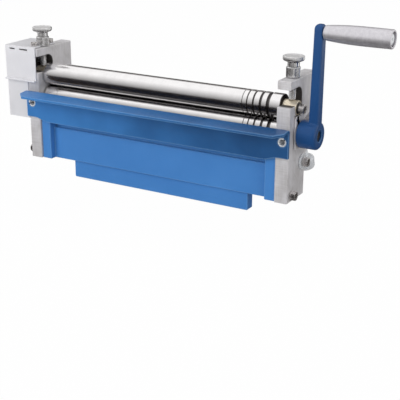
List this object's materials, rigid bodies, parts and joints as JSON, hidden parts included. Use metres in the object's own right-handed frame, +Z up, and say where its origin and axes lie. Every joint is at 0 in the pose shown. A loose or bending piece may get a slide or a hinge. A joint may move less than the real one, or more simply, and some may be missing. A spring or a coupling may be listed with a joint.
{
  "type": "manual slip roll",
  "caption": "Bench slip roll for sheet and wire: geared feed rolls with wire grooves, a rear bending roll, a blue bed with a vise tongue and a side crank.",
  "frame": {"origin": "middle of the front face of the tongue that a bench vise grips", "axes": "+X along the rolls towards the crank, +Y from the feed side to the back, +Z up"},
  "size_m": [0.4604, 0.0954, 0.2092],
  "materials": {
    "blue_paint": "gloss blue paint",
    "machined_steel": "milled",
    "ground_steel": "ground and polished",
    "sheet_steel": "bare sheet",
    "gear_steel": "cut teeth, oiled",
    "bright_zinc": "bright plated",
    "dark_screw_steel": "dark oiled steel",
    "bush_brass": "turned",
    "grip_aluminium": "satin turned"
  },
  "bodies": {
    "base": {"bed_casting": "blue_paint", "frame_left": "machined_steel", "frame_right": "machined_steel", "feed_plate": "blue_paint", "feed_plate_pin_left": "bright_zinc", "feed_plate_pin_right": "bright_zinc", "frame_screw_left_upper": "dark_screw_steel", "frame_screw_left_lower": "dark_screw_steel", "frame_screw_right_upper": "dark_screw_steel", "frame_screw_right_lower": "dark_screw_steel", "frame_screw_washer_left": "dark_screw_steel", "frame_screw_washer_right": "dark_screw_steel", "gear_cover": "sheet_steel", "cover_screw_front": "dark_screw_steel", "cover_screw_back": "dark_screw_steel", "lower_bush_left": "bush_brass", "lower_bush_right": "bush_brass", "bearing_keeper_left": "machined_steel", "bearing_keeper_right": "machined_steel", "keeper_screw_left_upper": "dark_screw_steel", "keeper_screw_left_lower": "dark_screw_steel", "keeper_screw_right_upper": "dark_screw_steel", "keeper_screw_right_lower": "dark_screw_steel"},
    "driven_roll": {"lower_roll": "ground_steel", "lower_gear": "gear_steel", "lower_gear_key": "dark_screw_steel", "lower_gear_screw": "dark_screw_steel", "lower_gear_washer": "dark_screw_steel", "crank_arm": "blue_paint", "crank_set_screw": "dark_screw_steel", "grip_spindle": "bright_zinc"},
    "crank_grip": {"grip": "grip_aluminium"},
    "top_bushes": {"top_bush_left": "bush_brass", "top_bush_right": "bush_brass"},
    "upper_roll": {"top_roll": "ground_steel", "top_gear": "gear_steel", "top_gear_key": "dark_screw_steel", "top_gear_screw": "dark_screw_steel", "top_gear_washer": "dark_screw_steel", "top_roll_end_screw": "dark_screw_steel"},
    "left_top_screw": {"top_screw_left": "bright_zinc"},
    "right_top_screw": {"top_screw_right": "bright_zinc"},
    "left_lock_nut": {"lock_nut_left": "dark_screw_steel"},
    "right_lock_nut": {"lock_nut_right": "dark_screw_steel"},
    "rear_blocks": {"rear_block_left": "machined_steel", "rear_block_right": "machined_steel"},
    "bending_roll": {"rear_roll": "ground_steel"},
    "left_rear_knob": {"rear_knob_left": "bright_zinc"},
    "right_rear_knob": {"rear_knob_right": "bright_zinc"}
  },
  "joints": [
    {"name": "crank_turn", "type": "hinge", "parent": "base", "child": "driven_roll", "pos_m": [0, 0.007, 0.08285], "axis": [1, 0, 0], "continuous": true},
    {"name": "grip_spin", "type": "hinge", "parent": "driven_roll", "child": "crank_grip", "pos_m": [0.228, 0.007, 0.18905], "axis": [1, 0, 0], "continuous": true},
    {"name": "top_bushes_lift", "type": "slide", "parent": "base", "child": "top_bushes", "axis": [0, 0, 1], "range_m": [0, 0.012]},
    {"name": "upper_roll_turn", "type": "hinge", "parent": "top_bushes", "child": "upper_roll", "pos_m": [0, 0.007, 0.10915], "axis": [1, 0, 0], "continuous": true},
    {"name": "left_top_screw_turn", "type": "hinge", "parent": "top_bushes", "child": "left_top_screw", "pos_m": [-0.16, 0.007, 0.155], "axis": [0, 0, 1], "range_deg": [0, 3456]},
    {"name": "right_top_screw_turn", "type": "hinge", "parent": "top_bushes", "child": "right_top_screw", "pos_m": [0.16, 0.007, 0.155], "axis": [0, 0, 1], "range_deg": [0, 3456]},
    {"name": "left_lock_nut_turn", "type": "hinge", "parent": "base", "child": "left_lock_nut", "pos_m": [-0.16, 0.007, 0.1463], "axis": [0, 0, 1], "range_deg": [0, 90]},
    {"name": "right_lock_nut_turn", "type": "hinge", "parent": "base", "child": "right_lock_nut", "pos_m": [0.16, 0.007, 0.1463], "axis": [0, 0, 1], "range_deg": [0, 90]},
    {"name": "rear_blocks_slide", "type": "slide", "parent": "base", "child": "rear_blocks", "axis": [0, -0.2588, 0.9659], "range_m": [0, 0.012]},
    {"name": "bending_roll_turn", "type": "hinge", "parent": "rear_blocks", "child": "bending_roll", "pos_m": [0, 0.0365, 0.0765], "axis": [1, 0, 0], "continuous": true},
    {"name": "left_rear_knob_turn", "type": "hinge", "parent": "rear_blocks", "child": "left_rear_knob", "pos_m": [-0.16, 0.0365, 0.0765], "axis": [0, -0.2588, 0.9659], "range_deg": [0, 3456]},
    {"name": "right_rear_knob_turn", "type": "hinge", "parent": "rear_blocks", "child": "right_rear_knob", "pos_m": [0.16, 0.0365, 0.0765], "axis": [0, -0.2588, 0.9659], "range_deg": [0, 3456]}
  ],
  "couplings": [
    {"joint": "upper_roll_turn", "follows": "crank_turn", "ratio": -1},
    {"joint": "left_top_screw_turn", "follows": "top_bushes_lift", "rad_per_m": 5026.5},
    {"joint": "right_top_screw_turn", "follows": "top_bushes_lift", "rad_per_m": 5026.5},
    {"joint": "left_rear_knob_turn", "follows": "rear_blocks_slide", "rad_per_m": 5026.5},
    {"joint": "right_rear_knob_turn", "follows": "rear_blocks_slide", "rad_per_m": 5026.5}
  ]
}
